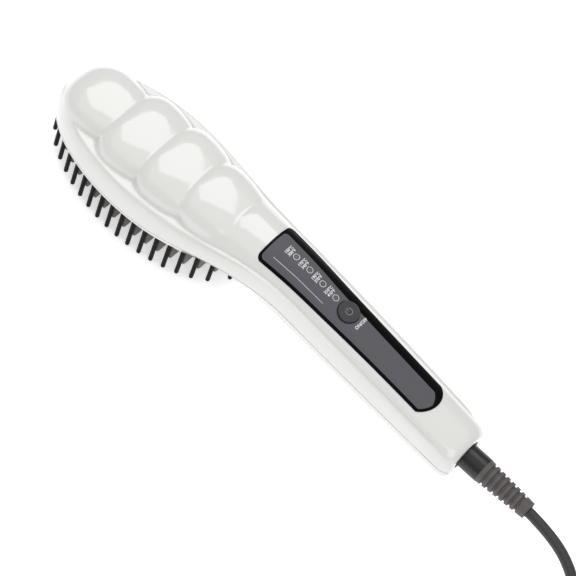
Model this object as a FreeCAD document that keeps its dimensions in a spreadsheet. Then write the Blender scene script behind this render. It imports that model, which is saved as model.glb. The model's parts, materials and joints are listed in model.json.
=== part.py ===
import FreeCAD
import Part
import Sketcher
import math
import os
import re
from types import SimpleNamespace

# Hair straightening brush with a corded swivel, in millimetres.
# x runs from the head's tip to the cord, y across, z up from the rim's lower edge.
# Every piece is then shifted by one seat, so that the bristle tips stand on z = 0.

SIZES = {
    # Housing: head, neck and handle
    "body_length": 290, "head_widest": 68, "head_half_width": 33.5, "neck_end": 178,
    "handle_half_width": 18.6, "tail_half_width": 16.4, "end_round": 7,
    "gutter_height": 17, "gutter_inset": 5.5, "tip_round": 7, "lip_round": 3,
    "parting_height": 2.2, "parting_gap": 0.3, "housing_wall": 2.2, "tip_wall": 2.6,
    "handle_start": 168, "handle_start_height": 13, "handle_end_height": -2,
    "handle_half_height": 15.5, "tail_half_height": 13.6, "neck_top": 31,
    "neck_rise_start": 100, "neck_rise_length": 30, "shoulder_height": 11.5,
    "parting_drop": 3, "neck_start": 75, "neck_blend": 100, "under_start": 115, "under_blend": 60,
    "lean_length": 40, "lean_end": 135,
    "top_blend_start": 135, "top_blend": 60, "swivel_block": 18, "cut_overrun": 0.5,
    # Pillows of the head's back
    "pillow_sink": 2.5, "first_pillow": 29, "pillow_pitch": 26.5,
    "pillow_half_length": 28, "first_half_length": 24,
    "pillow_top": 30.5, "pillow_climb": 0.5, "first_pillow_top": 29,
    # Bristle bed, fins and heater
    "bristle_reach": 26.5, "bristle_bow": 4, "bow_x": 78, "bow_half": 52,
    "bristle_radius": 1.25, "bristle_margin": 1.5, "bristle_fit": 0.05,
    "bed_rear": 68.5, "rim_land": 1.2, "lip_width": 1.7, "lip_thickness": 0.45,
    "bed_gap": 0.15, "bed_face": 0.5, "bed_flange_top": 2.0, "bed_step": 1.6, "bed_top": 4,
    "row_start": 6.5, "row_pitch": 7.4, "fin_reach": 21, "fin_thickness": 2, "fin_corner": 4,
    "fin_gap": 0.6, "slot_gap": 0.2, "wide_row": 22, "narrow_row": 12,
    "plate_thickness": 3, "plate_inset": 5, "heater_length": 62, "heater_width": 18,
    "heater_thickness": 2.4, "mica_margin": 1, "mica_thickness": 0.6, "clamp_width": 14,
    "clamp_thickness": 0.8, "clamp_foot": 6.5, "clamp_gap": 0.3, "fuse_radius": 2, "fuse_length": 12,
    "fuse_offset": 9, "sensor_radius": 1.2, "sensor_length": 5, "sensor_offset": 8,
    "lead_radius": 0.9, "lead_spacing": 7, "lead_gap": 0.2,
    # Screws
    "plate_screw_x": 34, "plate_screw_pitch": 66, "plate_screw_y": 14, "boss_radius": 3.2,
    "screw_radius": 1.5, "screw_head_radius": 2.7, "screw_head": 1.8, "screw_fit": 0.1,
    "plate_screw_length": 7, "shell_screw_length": 10, "shell_screw_seat": 4,
    "neck_screw_x": 146, "neck_screw_y": 9, "tail_screw_back": 32, "tail_screw_y": 11,
    "clamp_screw_radius": 1.2, "clamp_screw_head": 1.2, "clamp_screw_length": 3,
    # Control panel, button and board
    "panel_back": 145, "panel_length": 113, "panel_bulge": 6, "panel_head_half": 14,
    "panel_mid_half": 11.9, "panel_tail_half": 10.6, "panel_corner": 3, "panel_tail_corner": 1.6,
    "panel_depth": 1.2, "panel_proud": 0.4, "panel_gap": 0.12, "panel_ledge": 2.4,
    "overlay_thickness": 0.2, "overlay_gap": 0.06, "overlay_border": 1.5, "overlay_right_border": 6.6,
    "button_back": 91.4, "button_radius": 6.1, "button_proud": 0.9, "button_gap": 0.3,
    "button_flange": 1.1, "button_flange_thickness": 0.8, "button_dome": 0.4,
    "button_travel": 0.6, "button_clearance": 1.3, "button_stem_radius": 1.5,
    "pipe_radius": 1.1, "pipe_fit": 0.1, "pipe_pitch": 9.7, "pipe_offset": 9.7, "pipe_y": 0.3,
    "pipe_bar": 1.2, "pipe_bar_width": 4, "pipe_bar_drop": 0.9, "pipe_led_gap": 0.2,
    "board_length": 95, "board_width": 22, "board_thickness": 1.6, "board_depth": 8.5,
    "board_screw_inset": 10, "board_screw_y": -7, "board_screw_radius": 1.1, "board_screw_head_radius": 2.1,
    "board_screw_head": 1.3, "board_screw_length": 8, "board_post_radius": 2.6,
    "switch_width": 6, "switch_height": 3.5, "plunger_radius": 1.7, "plunger_length": 2.4,
    "plunger_fit": 0.1, "plunger_pocket": 2.2, "plunger_rest": 0.3,
    "led_length": 2, "led_width": 1.25, "led_height": 1.0,
    "triac_length": 10, "triac_width": 15, "triac_height": 4.5, "triac_offset": 20,
    "capacitor_length": 12, "capacitor_width": 6, "capacitor_height": 9, "capacitor_offset": -22,
    "chip_length": 8.6, "chip_width": 6, "chip_height": 1.6, "chip_offset": 0,
    # Cord swivel and strain relief
    "axle_height": -2, "collar_radius": 7.2, "collar_reach": 12, "collar_bore": 3.6,
    "collar_flange_radius": 8.4, "collar_flange": 3.4, "collar_neck_radius": 5, "collar_neck": 18,
    "collar_end_gap": 0.3, "bush_fit": 0.05, "bush_radius": 8.8, "bush_recess": 1,
    "bush_flange_radius": 9.4, "bush_flange": 2, "bush_seat_fit": 0.1, "ring_radius": 6,
    "ring_width": 4, "ring_gap": 3, "ring_end": 3, "blade_thickness": 0.5, "blade_width": 3,
    "blade_gap": 0.3, "blade_inset": 4, "blade_spread": 1, "blade_seat": 0.15,
    "sleeve_length": 31, "sleeve_radius": 7, "sleeve_tip_radius": 5, "rib_height": 1.1,
    "rib_pitch": 3.6, "sleeve_collar": 0.8,
    # Mains lead, its coil and plug
    "cord_radius": 3, "cord_start": 18, "coil_outer_radius": 46, "coil_pitch": 6.5,
    "coil_rise": 6.5, "coil_reach": 119, "tail_step": 19.4, "tail_end": 19, "plug_rest": 0.3,
    "tie_width": 8, "tie_thickness": 0.8, "tie_gap": 0.7,
    "plug_length": 36, "plug_width": 26, "plug_thickness": 13.8, "plug_neck_width": 15,
    "plug_edge": 3.5, "plug_sleeve_length": 20, "plug_sleeve_radius": 4.6,
    "plug_sleeve_root": 5.8, "pin_radius": 2, "pin_length": 19, "pin_spacing": 18.6,
    "pin_sleeve_length": 10, "pin_core_radius": 1.4, "pin_fit": 0.05,
    "pin_root": 6, "pin_end_round": 1.2,
}

# Shares of the sizes that they follow
END_SHRINK_SHARE = 0.2
SHOULDER_WIDTH_SHARE = 0.86
HEAD_WALL_SHARES = (0.975, 0.95)
HANDLE_WALL_SHARES = (0.985, 0.70)
CROWN_WIDTH_SHARE = 0.6
UNDER_WIDTH_SHARE = 0.70
UNDER_CURVE_SHARE = 0.25
UNDER_DEPTH_SHARE = 0.09
NECK_LEAN_SHARE = 0.45
RIM_EDGE_SHARE = 0.5
BOTTOM_WIDTH_SHARE = 0.5
TIP_INSET_SHARE = 0.36
PILLOW_WIDTH_SHARES = (0.79, 0.81, 0.81, 0.795)
INNER_BRISTLE_SHARE = 0.36
PANEL_MID_SHARE = 0.42

TIP_SECTIONS = 8
BODY_SECTIONS = 26
END_SECTIONS = 4
TIP_SPAN_SHARE = 0.08
ROWS = 18
INDICATORS = 4
SLEEVE_RIBS = 7
COIL_TURNS = 4
COIL_STEPS = 12
COIL_UPPER_STEPS = 37
TAIL_TURNS = 5
GAP_SAMPLES = 8

RIB_SHARES = (0.55, 0.65, 0.9)
TIP_SHARES = [(0, 0), (0.6, 0.2), (0.92, 0.6), (1, 1.1)]
POST_FOOT_SHARE = 0.7
PLUG_TAPER_SHARE = 0.55

# The mains lead as shares of its run, swing and drop: chosen places
LEAD_SHARES = [(0, 0, 0), (0.21, 0, 0), (0.42, 0.17, 0.2), (0.63, 0.67, 0.7), (0.84, 1, 1), (1, 1, 1)]
TAIL_RISE_SHARES = (0, 0, 0.25, 0.55, 0.8, 1, 1)
HEATER_LEAD_SHARES = (0, 0.26, 0.75, 1)

doc = FreeCAD.newDocument("straightening_brush")
sheet = doc.addObject("Spreadsheet::Sheet", "Sizes")
for row, (alias, number) in enumerate(SIZES.items(), start=1):
    sheet.set("A%d" % row, alias)
    sheet.set("B%d" % row, str(number))
    sheet.setAlias("B%d" % row, alias)
doc.recompute()
s = SimpleNamespace(**{alias: float(sheet.get(alias)) for alias in SIZES})
button_x = s.body_length - s.button_back
panel_start = s.body_length - s.panel_back
tail_screw_x = s.body_length - s.tail_screw_back

X_AXIS = FreeCAD.Vector(1, 0, 0)
Y_AXIS = FreeCAD.Vector(0, 1, 0)
Z_AXIS = FreeCAD.Vector(0, 0, 1)
overall_length = s.body_length + s.collar_reach + s.sleeve_length
seat = FreeCAD.Placement(FreeCAD.Vector(-overall_length / 2, 0, s.bristle_reach), FreeCAD.Rotation())
pieces = {}


def point(x, y, z):
    return FreeCAD.Vector(x, y, z)


def keep(label, thing, place=FreeCAD.Placement()):
    """Name a finished sub-part and put it in its place."""
    thing.Label = label
    thing.Placement = seat.multiply(place)
    pieces[label] = thing
    return thing


def keep_shape(label, shape, place=FreeCAD.Placement()):
    """A sub-part whose shape comes from curves that no sketch or primitive gives."""
    feature = doc.addObject("Part::Feature", label)
    feature.Shape = shape
    return keep(label, feature, place)


def sized(expression):
    """The expression with every size read from the sheet."""
    return re.sub(r"[a-z_]+", lambda word: "Sizes." + word.group(), expression)


def flat_sketch(body, plane):
    """An empty sketch on one of the body's own origin planes."""
    sketch = body.newObject("Sketcher::SketchObject", "Outline")
    support = [f for f in body.Origin.OriginFeatures if f.Role == plane][0]
    sketch.AttachmentSupport = (support, [""])
    sketch.MapMode = "FlatFace"
    return sketch


def outline_sketch(body, plane, corners):
    """A closed outline whose corners are expressions of the sheet's sizes."""
    sketch = flat_sketch(body, plane)
    places = [[float(sketch.evalExpression(sized(e))) for e in pair] for pair in corners]
    for i, here in enumerate(places):
        there = places[(i + 1) % len(places)]
        sketch.addGeometry(Part.LineSegment(point(*here, 0), point(*there, 0)), False)
    for i in range(len(places)):
        sketch.addConstraint(Sketcher.Constraint("Coincident", i, 2, (i + 1) % len(places), 1))
    for i, pair in enumerate(corners):
        for kind, expression, value in zip(("DistanceX", "DistanceY"), pair, places[i]):
            index = sketch.addConstraint(Sketcher.Constraint(kind, i, 1, value))
            sketch.setExpression("Constraints[%d]" % index, sized(expression))
    return sketch


def turned_body(label, axis, corners):
    """A body turned round the sketch's H_Axis (along x) or V_Axis (along z)."""
    body = doc.addObject("PartDesign::Body", label)
    sketch = outline_sketch(body, "XZ_Plane", corners)
    turn = body.newObject("PartDesign::Revolution", "Turn")
    turn.Profile = sketch
    turn.ReferenceAxis = (sketch, [axis])
    turn.Angle = 360
    return body


def padded_body(label, corners, height):
    """A body padded up from the XY plane by an expression of the sizes."""
    body = doc.addObject("PartDesign::Body", label)
    pad = body.newObject("PartDesign::Pad", "Pad")
    pad.Profile = outline_sketch(body, "XY_Plane", corners)
    pad.setExpression("Length", sized(height))
    return body


def bound(kind, label, **expressions):
    """A primitive whose sizes are bound to the sheet."""
    thing = doc.addObject(kind, label)
    for name, expression in expressions.items():
        thing.setExpression(name, sized(expression))
    return thing


def rectangle(half_length, half_width):
    minus_l = "-(%s)" % half_length
    minus_w = "-(%s)" % half_width
    return [(minus_l, minus_w), (half_length, minus_w), (half_length, half_width), (minus_l, half_width)]


def copies(body, places):
    """The same solid at each place, as a group of separate solids."""
    doc.recompute()
    group = []
    for place in places:
        solid = body.Shape.copy()
        solid.Placement = place.multiply(solid.Placement)
        group.append(solid)
    return Part.makeCompound(group)


# Housing outline along the length


def ease(share):
    return 0.5 - 0.5 * math.cos(math.pi * min(max(share, 0), 1))


def round_in(share):
    return math.sqrt(max(0, 1 - (1 - min(share, 1)) ** 2))


def end_factor(x):
    share = min(max((x - (s.body_length - s.end_round)) / s.end_round, 0), 1)
    return 1 - END_SHRINK_SHARE * (1 - math.sqrt(1 - share**2))


def tail_share(x):
    return max(0, (x - s.handle_start) / (s.body_length - s.handle_start))


def half_width(x):
    if x < s.head_widest:
        return s.head_half_width * round_in(x / s.head_widest)
    blend = ease((x - s.head_widest) / (s.neck_end - s.head_widest))
    width = s.head_half_width + (s.handle_half_width - s.head_half_width) * blend
    width += (s.tail_half_width - s.handle_half_width) * tail_share(x) ** 2
    return width * end_factor(x)


def handle_centre(x):
    fall = s.handle_end_height - s.handle_start_height
    return s.handle_start_height + fall * (x - s.handle_start) / (s.body_length - s.handle_start)


def handle_half(x):
    height = s.handle_half_height + (s.tail_half_height - s.handle_half_height) * tail_share(x) ** 2
    return height * end_factor(x)


def neck_share(x):
    return ease((x - s.neck_start) / s.neck_blend)


def parting_z(x):
    handle = handle_centre(x) - s.parting_drop
    return s.parting_height + (handle - s.parting_height) * neck_share(x)


def shoulder_width(x):
    width = half_width(x)
    head = width - min(s.gutter_inset, TIP_INSET_SHARE * width)
    return head + (width * SHOULDER_WIDTH_SHARE - head) * neck_share(x)


def shoulder_z(x):
    head = parting_z(0) + (s.gutter_height - parting_z(0)) * round_in(x / s.tip_round)
    handle = parting_z(x) + s.shoulder_height * handle_half(x) / s.handle_half_height
    return head + (handle - head) * neck_share(x)


def crown_z(x):
    handle = handle_centre(max(x, s.handle_start)) + handle_half(x)
    top = s.neck_top + (handle - s.neck_top) * ease((x - s.top_blend_start) / s.top_blend)
    rise = ease((x - s.neck_rise_start) / s.neck_rise_length)
    return shoulder_z(x) + (top - shoulder_z(x)) * rise


def under_z(x):
    lip = parting_z(0) * (1 - round_in(x / s.lip_round))
    handle = min(handle_centre(x) - handle_half(x), 0)
    return lip + handle * ease((x - s.under_start) / s.under_blend)


def bezier(*poles):
    curve = Part.BezierCurve()
    curve.setPoles(list(poles))
    return curve.toShape()


def line(a, b):
    return Part.LineSegment(a, b).toShape()


def mirrored(poles):
    return [point(p.x, -p.y, p.z) for p in reversed(poles)]


def wall_poles(x, inset, parting):
    """The side wall, from the parting line up to the gutter or shoulder."""
    width = half_width(x) - inset
    top = point(x, shoulder_width(x) - inset, shoulder_z(x) - inset)
    lean, lift = (a + (b - a) * neck_share(x) for a, b in zip(HEAD_WALL_SHARES, HANDLE_WALL_SHARES))
    middle = point(x, width * lean, parting + (top.z - parting) * lift)
    return [point(x, width, parting), middle, top]


def crown_poles(x, inset, lift=0):
    """The crowned top between the two shoulders; a cubic reaches three quarters of its poles."""
    width = shoulder_width(x) - inset
    low = shoulder_z(x) - inset + lift
    high = low + (crown_z(x) - shoulder_z(x)) * 4 / 3
    right = [point(x, width, low), point(x, CROWN_WIDTH_SHARE * width, high)]
    return right + mirrored(right)


def upper_section(x, inset, parting):
    wall = wall_poles(x, inset, parting)
    crown = crown_poles(x, inset)
    edges = [bezier(*wall), bezier(*crown), bezier(*mirrored(wall)), line(mirrored(wall)[-1], wall[0])]
    return Part.Wire(edges)


def under_poles(x, inset, parting):
    """The lower side, from the parting line to the underside's edge."""
    width = half_width(x) - inset
    flow = ease((x - s.under_start) / s.under_blend)
    lean = ease((x - s.neck_start) / s.lean_length) * (1 - ease((x - s.lean_end) / s.lean_length))
    lean *= NECK_LEAN_SHARE
    depth = under_z(x) + inset
    rim = egg_half_width(x, s.rim_land * RIM_EDGE_SHARE) - inset
    edge = max(rim, width * UNDER_WIDTH_SHARE)
    lift = UNDER_DEPTH_SHARE * width * flow
    low = depth + (parting - depth) * max(lean, UNDER_CURVE_SHARE * flow)
    middle = point(x, width - (width - edge) * lean, low)
    return [point(x, width, parting), middle, point(x, edge, depth + lift)], lift


def lower_section(x, inset, parting):
    side, lift = under_poles(x, inset, parting)
    edge = side[-1]
    low = point(x, BOTTOM_WIDTH_SHARE * edge.y, edge.z - lift * 4 / 3)
    bottom = [edge, low] + mirrored([edge, low])
    edges = [bezier(*side), bezier(*bottom), bezier(*mirrored(side)), line(mirrored(side)[-1], side[0])]
    return Part.Wire(edges)


def spread(start, end, count):
    return [start + (end - start) * i / count for i in range(count + 1)]


tip_span = TIP_SPAN_SHARE * s.body_length
tip_stations = [tip_span * ((i - 0.5) / TIP_SECTIONS) ** 2 for i in range(1, TIP_SECTIONS)]
body_stations = spread(tip_span, s.body_length - s.end_round, BODY_SECTIONS)
end_shares = [1 - math.sin(math.pi / 2 * (i + 1) / END_SECTIONS) for i in range(END_SECTIONS)]
end_stations = [s.body_length - s.end_round * share for share in end_shares]
outer_stations = tip_stations + body_stations + end_stations
bush_inner_end = s.body_length - s.swivel_block
inner_stations = [s.tip_wall] + [x for x in outer_stations if s.tip_wall < x < bush_inner_end]
inner_stations.append(bush_inner_end)
back_edge = s.parting_gap / 2


def housing_half(section, gap):
    """One half of the housing as a full solid, from the tip to the handle's end."""
    wires = [section(x, 0, parting_z(x) + gap) for x in outer_stations]
    return Part.makeLoft(wires, True, False)


def housing_hollow(section, gap, stations):
    wires = [section(x, s.housing_wall, parting_z(x) + gap) for x in stations]
    return Part.makeLoft(wires, True, False)


def pillow(index, inset):
    """One half ellipsoid of the quilted back; the sink leaves its edge inside the plateau."""
    x = s.first_pillow + index * s.pillow_pitch
    base = s.gutter_height - s.pillow_sink - inset
    top = (s.pillow_top + index * s.pillow_climb if index else s.first_pillow_top) - inset
    width = PILLOW_WIDTH_SHARES[index] * half_width(x) - inset
    length = s.pillow_half_length if index else s.first_half_length
    unit = Part.makeSphere(1, point(0, 0, 0), Z_AXIS, 0, 90, 360)
    stretch = FreeCAD.Matrix()
    stretch.scale(length - inset, width, top - base)
    stretch.move(point(x, 0, base))
    return unit.transformGeometry(stretch)


def egg(inset):
    """Outline of the bristle field: two half ellipses that share their widest line."""
    half = s.head_half_width - inset
    ends = []
    for reach, start in ((s.head_widest - inset, 0.5), (s.bed_rear - inset, 1.5)):
        long_axis = max(reach, half)
        ellipse = Part.Ellipse(point(s.head_widest, 0, 0), long_axis, min(reach, half))
        ends.append(ellipse.toShape(start * math.pi, (start + 1) * math.pi))
    return Part.Wire(ends)


def egg_half_width(x, inset):
    reach = (s.head_widest if x < s.head_widest else s.bed_rear) - inset
    share = 1 - ((x - s.head_widest) / reach) ** 2
    return (s.head_half_width - inset) * math.sqrt(max(0, share))


def egg_solid(inset, low, high):
    block = Part.Face(egg(inset)).extrude(point(0, 0, high - low))
    block.translate(point(0, 0, low))
    return block


def upright(x, y, low, high, radius):
    return Part.makeCylinder(radius, high - low, point(x, y, low))


# Handle frame: its origin is on the crown at the button, its z along the button's travel

handle_length = s.body_length - s.handle_start
slope = math.degrees(math.atan2(s.handle_start_height - s.handle_end_height, handle_length))
button_seat = point(button_x, 0, crown_z(button_x))
handle_frame = FreeCAD.Placement(button_seat, FreeCAD.Rotation(Y_AXIS, slope))


def on_handle(along, across, up):
    return handle_frame.multiply(FreeCAD.Placement(point(along, across, up), FreeCAD.Rotation()))


def handle_point(along, across, up):
    return handle_frame.multVec(point(along, across, up))


handle_axis = handle_frame.Rotation.multVec(Z_AXIS)


# Control panel surfaces


panel_stations = [x for x in body_stations if panel_start - s.neck_blend / 4 < x]
roof = s.neck_top + s.bristle_reach


def crown_block(lift):
    """Everything under the handle's crown, with the crown raised by lift."""
    wires = []
    for x in panel_stations:
        poles = crown_poles(x, 0, lift)
        corner = [point(x, p.y, -s.bristle_reach) for p in (poles[-1], poles[0])]
        edges = [bezier(*poles), line(poles[-1], corner[0]), line(*corner), line(corner[1], poles[0])]
        wires.append(Part.Wire(edges))
    return Part.makeLoft(wires, True, False)


def panel_prism(inset):
    """Upright block of the panel's outline, flared at the head and rounded at the tail."""
    start = panel_start + inset
    end = panel_start + s.panel_length
    halves = [h - inset for h in (s.panel_head_half, s.panel_mid_half, s.panel_tail_half)]
    middle = start + (end - start) * PANEL_MID_SHARE
    right = [point(start, halves[0], 0), point(middle, halves[1], 0), point(end, halves[2], 0)]
    left = mirrored(right)
    nose = point(end + s.panel_bulge - inset, 0, 0)
    edges = [
        Part.Arc(*right).toShape(),
        Part.Arc(right[-1], nose, left[0]).toShape(),
        Part.Arc(*left).toShape(),
        line(left[-1], right[0]),
    ]
    block = Part.Face(Part.Wire(edges)).extrude(point(0, 0, roof))
    for radius, x in ((s.panel_corner, start), (s.panel_tail_corner, end)):
        boxes = [(e, e.BoundBox) for e in block.Edges]
        upright_edges = [e for e, b in boxes if b.ZLength > roof / 2 and abs(b.Center.x - x) < s.panel_gap]
        block = block.makeFillet(radius - inset / 2 if radius > inset else radius, upright_edges)
    return block


def handle_cylinder(along, across, low, high, radius):
    return Part.makeCylinder(radius, high - low, handle_point(along, across, low), handle_axis)


indicator_places = [-s.pipe_offset - s.pipe_pitch * i for i in range(INDICATORS)]
axle = point(s.body_length, 0, s.axle_height)
panel_floor = crown_block(-s.panel_depth)
panel_top = crown_block(s.panel_proud)


# Screws: places along the brush, and the seat under each head


def both_sides(places):
    return [(x, side * y) for x, y in places for side in (-1, 1)]


plate_top = s.bed_top + s.plate_thickness
plate_rows = [s.plate_screw_x, s.plate_screw_x + s.plate_screw_pitch]
plate_screws_at = both_sides([(x, s.plate_screw_y) for x in plate_rows])
shell_screws_at = both_sides([(s.neck_screw_x, s.neck_screw_y), (tail_screw_x, s.tail_screw_y)])
board_half = s.board_length / 2
board_bottom = -s.board_depth - s.board_thickness
board_screws_at = [end * (board_half - s.board_screw_inset) for end in (-1, 1)]


def shell_seat(x):
    return parting_z(x) - s.shell_screw_seat


def post_foot(along):
    """Depth of a board post's foot, inside the wall of the handle's underside."""
    x = handle_point(along, 0, 0).x
    return under_z(x) - crown_z(x) + s.housing_wall * POST_FOOT_SHARE


def swivel_bore():
    reach = s.swivel_block + 2 * s.cut_overrun
    start = point(bush_inner_end - s.cut_overrun, 0, s.axle_height)
    return Part.makeCylinder(s.bush_radius + s.bush_seat_fit, reach, start, X_AXIS)


def make_shells():
    upper = housing_half(upper_section, back_edge)
    quilt = [pillow(i, 0) for i in range(len(PILLOW_WIDTH_SHARES))]
    back_full = upper.multiFuse(quilt)
    hollow = housing_hollow(upper_section, -s.cut_overrun, inner_stations)
    hollow = hollow.multiFuse([pillow(i, s.housing_wall) for i in range(len(PILLOW_WIDTH_SHARES))])
    bosses = [upright(x, y, plate_top, roof, s.boss_radius) for x, y in plate_screws_at]
    bosses += [upright(x, y, parting_z(x) + back_edge, roof, s.boss_radius) for x, y in shell_screws_at]
    bosses = [boss.common(back_full) for boss in bosses]
    back = back_full.cut(hollow).multiFuse(bosses)
    pilot = s.screw_radius + s.screw_fit
    plate_tip = s.bed_top + s.screw_head + s.plate_screw_length
    cuts = [upright(x, y, 0, plate_tip, pilot) for x, y in plate_screws_at]
    for x, y in shell_screws_at:
        cuts.append(upright(x, y, shell_seat(x), shell_seat(x) + s.shell_screw_length, pilot))
    recess = panel_prism(-s.panel_gap).cut(panel_floor)
    window = panel_prism(s.panel_ledge).cut(crown_block(-s.housing_wall - s.cut_overrun))
    back = back.cut(Part.makeCompound(cuts)).cut(recess).cut(window).cut(swivel_bore())
    keep_shape("back_shell", back.removeSplitter())

    lower = housing_half(lower_section, -back_edge)
    hollow_stations = [x for x in inner_stations if x > s.under_start + s.under_blend / 2]
    handle_hollow = housing_hollow(lower_section, s.cut_overrun, hollow_stations)
    front = lower.cut(handle_hollow)
    added = []
    for p in board_screws_at:
        added.append(handle_cylinder(p, s.board_screw_y, post_foot(p), board_bottom, s.board_post_radius))
    for x, y in shell_screws_at:
        added.append(upright(x, y, -s.bristle_reach, parting_z(x) - back_edge, s.boss_radius).common(lower))
    front = front.multiFuse(added)
    cuts = [egg_solid(s.rim_land, s.lip_thickness, roof), egg_solid(s.lip_width, -s.cut_overrun, roof)]
    cuts.append(swivel_bore())
    for x, y in shell_screws_at:
        cuts.append(upright(x, y, -s.bristle_reach, shell_seat(x), s.screw_head_radius + s.bed_gap))
        cuts.append(upright(x, y, shell_seat(x) - s.cut_overrun, roof, pilot))
    for p in board_screws_at:
        depth = board_bottom - s.board_screw_length
        top = board_bottom + s.cut_overrun
        cuts.append(handle_cylinder(p, s.board_screw_y, depth, top, s.board_screw_radius + s.screw_fit))
    keep_shape("front_shell", front.cut(Part.makeCompound(cuts)).removeSplitter())


def make_panel():
    reach = s.handle_half_height
    holes = [handle_cylinder(0, 0, -reach, reach, s.button_radius + s.button_gap)]
    for p in indicator_places:
        holes.append(handle_cylinder(p, s.pipe_y, -reach, reach, s.pipe_radius + s.pipe_fit))
    holes = Part.makeCompound(holes)
    bezel = panel_prism(0).common(panel_top).cut(crown_block(-s.panel_depth + s.panel_gap / 2))
    keep_shape("panel_bezel", bezel.cut(holes))

    film_top = crown_block(s.panel_proud + s.overlay_gap + s.overlay_thickness)
    lean = s.overlay_right_border - s.overlay_border
    trim = panel_prism(s.overlay_border)
    trim = trim.common(trim.translated(point(0, -lean, 0)))
    film = trim.common(film_top).cut(crown_block(s.panel_proud + s.overlay_gap))
    keep_shape("panel_overlay", film.cut(holes))

    bar_top = -s.panel_depth - s.pipe_bar_drop
    low = s.led_height + s.pipe_led_gap - s.board_depth
    pins = [handle_cylinder(p, s.pipe_y, low, reach, s.pipe_radius) for p in indicator_places]
    bar_length = s.pipe_pitch * (INDICATORS - 1) + s.pipe_bar_width
    half = s.pipe_bar_width / 2
    corner = point(indicator_places[-1] - half, s.pipe_y - half, bar_top - s.pipe_bar)
    bar = Part.makeBox(bar_length, s.pipe_bar_width, s.pipe_bar, corner)
    bar.Placement = handle_frame.multiply(bar.Placement)
    pipe = bar.multiFuse(pins).common(film_top)
    keep_shape("light_pipe", pipe)


def make_board():
    outline = rectangle("board_length / 2", "board_width / 2")
    board = padded_body("control_board", outline, "board_thickness")
    doc.recompute()
    sketch = flat_sketch(board, "XY_Plane")
    for p in board_screws_at:
        circle = Part.Circle(point(p, s.board_screw_y, 0), Z_AXIS, s.board_screw_radius + s.screw_fit)
        sketch.addGeometry(circle, False)
    holes = board.newObject("PartDesign::Pocket", "Holes")
    holes.Profile = sketch
    holes.Type = "ThroughAll"
    holes.Reversed = True
    keep("control_board", board, on_handle(0, 0, board_bottom))
    screw = turned_body("board_screw", "V_Axis", [
        ("0", "-board_screw_length"), ("board_screw_radius", "-board_screw_length"),
        ("board_screw_radius", "0"), ("board_screw_head_radius", "0"),
        ("board_screw_head_radius", "board_screw_head"), ("0", "board_screw_head")])
    places = [on_handle(p, s.board_screw_y, -s.board_depth) for p in board_screws_at]
    keep_shape("board_screws", copies(screw, places))
    doc.removeObject(screw.Name)
    make_switch()
    led = bound("Part::Box", "led", Length="led_length", Width="led_width", Height="led_height")
    led_y = s.pipe_y - s.led_width / 2
    places = [on_handle(p - s.led_length / 2, led_y, -s.board_depth) for p in indicator_places]
    keep_shape("indicator_leds", copies(led, places))
    doc.removeObject(led.Name)
    for name in ("triac", "capacitor", "chip"):
        sides = {"Length": name + "_length", "Width": name + "_width", "Height": name + "_height"}
        block = bound("Part::Box", name, **sides)
        size = [getattr(s, name + part) for part in ("_length", "_width", "_height", "_offset")]
        label = {"triac": "power_triac", "capacitor": "mains_capacitor", "chip": "control_chip"}[name]
        keep(label, block, on_handle(size[3] - size[0] / 2, -size[1] / 2, board_bottom - size[2]))


switch_top = -s.board_depth + s.switch_height
plunger_rise = "plunger_length - plunger_pocket + button_travel + plunger_rest"
plunger_rise += " + switch_height - board_depth"
plunger_top = switch_top + s.plunger_length - s.plunger_pocket + s.button_travel + s.plunger_rest


def make_switch():
    """Tact switch: a case with a pocket, and the plunger that the button's stem rests on."""
    case = padded_body("tact_switch", rectangle("switch_width / 2", "switch_width / 2"), "switch_height")
    keep("tact_switch", pocketed(case), on_handle(0, 0, -s.board_depth))
    plunger = bound("Part::Cylinder", "plunger", Radius="plunger_radius", Height="plunger_length")
    keep("switch_plunger", plunger, on_handle(0, 0, plunger_top - s.plunger_length))
    cap = turned_body("cap", "V_Axis", [
        ("0", plunger_rise), ("button_stem_radius", plunger_rise),
        ("button_stem_radius", "-panel_depth - button_clearance - button_flange_thickness"),
        ("button_radius + button_flange", "-panel_depth - button_clearance - button_flange_thickness"),
        ("button_radius + button_flange", "-panel_depth - button_clearance"),
        ("button_radius", "-panel_depth - button_clearance"),
        ("button_radius", "button_proud"),
        ("button_radius - button_dome", "button_proud + button_dome"),
        ("0", "button_proud + button_dome")])
    keep("power_button", cap, handle_frame)


def pocketed(case):
    """Cut the plunger's pocket into the top of the switch case."""
    doc.recompute()
    sketch = flat_sketch(case, "XY_Plane")
    sketch.setExpression(".AttachmentOffset.Base.z", sized("switch_height"))
    sketch.addGeometry(Part.Circle(point(0, 0, 0), Z_AXIS, s.plunger_radius + s.plunger_fit), False)
    index = sketch.addConstraint(Sketcher.Constraint("Radius", 0, s.plunger_radius + s.plunger_fit))
    sketch.setExpression("Constraints[%d]" % index, sized("plunger_radius + plunger_fit"))
    cut = case.newObject("PartDesign::Pocket", "Plunger_pocket")
    cut.Profile = sketch
    cut.setExpression("Length", sized("plunger_pocket"))
    return case


# Bristle bed


bristle_inset = s.lip_width + s.bristle_margin - s.bed_gap / 2


def bow(x):
    """How much shorter the bristles of a row are than the longest, at the bow's middle."""
    return s.bristle_bow * min(1, ((x - s.bow_x) / s.bow_half) ** 2)


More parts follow.
